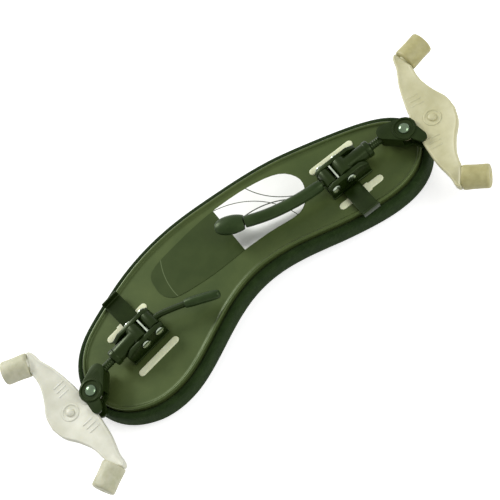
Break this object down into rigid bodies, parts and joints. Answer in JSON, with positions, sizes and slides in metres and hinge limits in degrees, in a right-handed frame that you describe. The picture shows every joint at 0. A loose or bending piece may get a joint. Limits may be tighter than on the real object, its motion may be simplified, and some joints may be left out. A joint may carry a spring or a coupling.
{
  "type": "violin shoulder rest",
  "caption": "Arched kidney-shaped plate on a foam pad, with two folding lever-locked legs that end in rocking forks with rubber-sleeved feet.",
  "frame": {"origin": "middle of the bounding box's bottom face, under the pad's ends", "axes": "+X along the plate towards its narrow end, +Y towards its convex edge, +Z towards the violin"},
  "size_m": [0.2538, 0.0938, 0.0303],
  "materials": {
    "plate": "satin moulded",
    "foam": "open-cell foam with a fabric skin",
    "label_dark": "satin film",
    "label_silver": "brushed foil",
    "nylon": "ivory nylon",
    "black_metal": "dark satin paint",
    "steel": "bright nickel",
    "rubber": "smooth",
    "fork": "ivory moulded",
    "sleeve": "translucent ivory tube"
  },
  "bodies": {
    "plate": {"base_plate": "plate", "foam_pad": "foam", "label_dark": "label_dark", "label_silver": "label_silver", "left_bare_rail": "nylon", "left_covered_rail": "nylon", "right_bare_rail": "nylon", "right_covered_rail": "nylon"},
    "left_carriage": {"left_carriage": "black_metal", "left_clamp_block": "black_metal", "left_carriage_screw": "steel", "left_keeper_plate": "steel", "left_fold_pin": "steel", "left_lever_pin": "steel", "left_lock_shoe": "steel"},
    "left_lever": {"left_lever": "black_metal", "left_lever_grip": "rubber"},
    "left_barrel": {"left_barrel": "black_metal"},
    "left_rod": {"left_rod": "black_metal"},
    "left_bracket": {"left_bracket": "black_metal", "left_rock_pin": "steel"},
    "left_fork": {"left_fork": "fork", "left_fork_rivet": "fork", "left_sleeve_a": "sleeve", "left_sleeve_b": "sleeve"},
    "right_carriage": {"right_carriage": "black_metal", "right_clamp_block": "black_metal", "right_carriage_screw": "steel", "right_keeper_plate": "steel", "right_fold_pin": "steel", "right_lever_pin": "steel", "right_lock_shoe": "steel"},
    "right_lever": {"right_lever": "black_metal", "right_lever_grip": "rubber", "right_lever_tip": "rubber"},
    "right_barrel": {"right_barrel": "black_metal"},
    "right_rod": {"right_rod": "black_metal"},
    "right_bracket": {"right_bracket": "black_metal", "right_rock_pin": "steel"},
    "right_fork": {"right_fork": "fork", "right_fork_rivet": "fork", "right_sleeve_a": "sleeve", "right_sleeve_b": "sleeve"}
  },
  "joints": [
    {"name": "left_carriage_slide", "type": "slide", "parent": "plate", "child": "left_carriage", "axis": [-0.9939, -0.0872, -0.0681], "range_m": [-0.004, 0.004]},
    {"name": "left_lever_swing", "type": "hinge", "parent": "left_carriage", "child": "left_lever", "pos_m": [-0.05614, 0.00882, 0.02379], "axis": [0.087, -0.9962, 0.006], "range_deg": [0, 65]},
    {"name": "left_leg_fold", "type": "hinge", "parent": "left_carriage", "child": "left_barrel", "pos_m": [-0.06469, 0.00807, 0.02321], "axis": [-0.087, 0.9962, -0.006], "range_deg": [0, 90]},
    {"name": "left_rod_height", "type": "slide", "parent": "left_barrel", "child": "left_rod", "axis": [-0.9939, -0.0872, -0.0681], "range_m": [0, 0.006]},
    {"name": "left_fork_swivel", "type": "hinge", "parent": "left_rod", "child": "left_bracket", "pos_m": [-0.06469, 0.00807, 0.02321], "axis": [-0.9939, -0.0872, -0.0681], "range_deg": [-8, 25]},
    {"name": "left_fork_rock", "type": "hinge", "parent": "left_bracket", "child": "left_fork", "pos_m": [-0.09723, 0, 0.02098], "axis": [-0.0684, 0, 0.9977], "range_deg": [-12, 12]},
    {"name": "right_carriage_slide", "type": "slide", "parent": "plate", "child": "right_carriage", "axis": [0.9979, 0.0087, -0.0642], "range_m": [-0.004, 0.004]},
    {"name": "right_lever_swing", "type": "hinge", "parent": "right_carriage", "child": "right_lever", "pos_m": [0.04944, 0.00768, 0.02402], "axis": [-0.0087, 1, 0.0006], "range_deg": [0, 65]},
    {"name": "right_leg_fold", "type": "hinge", "parent": "right_carriage", "child": "right_barrel", "pos_m": [0.05803, 0.00776, 0.02346], "axis": [0.0087, -1, -0.0006], "range_deg": [0, 90]},
    {"name": "right_rod_height", "type": "slide", "parent": "right_barrel", "child": "right_rod", "axis": [0.9979, 0.0087, -0.0642], "range_m": [0, 0.006]},
    {"name": "right_fork_swivel", "type": "hinge", "parent": "right_rod", "child": "right_bracket", "pos_m": [0.05803, 0.00776, 0.02346], "axis": [0.9979, 0.0087, -0.0642], "range_deg": [-25, 8]},
    {"name": "right_fork_rock", "type": "hinge", "parent": "right_bracket", "child": "right_fork", "pos_m": [0.0912, 0.00285, 0.02133], "axis": [0.0643, 0, 0.9979], "range_deg": [-12, 12]}
  ]
}
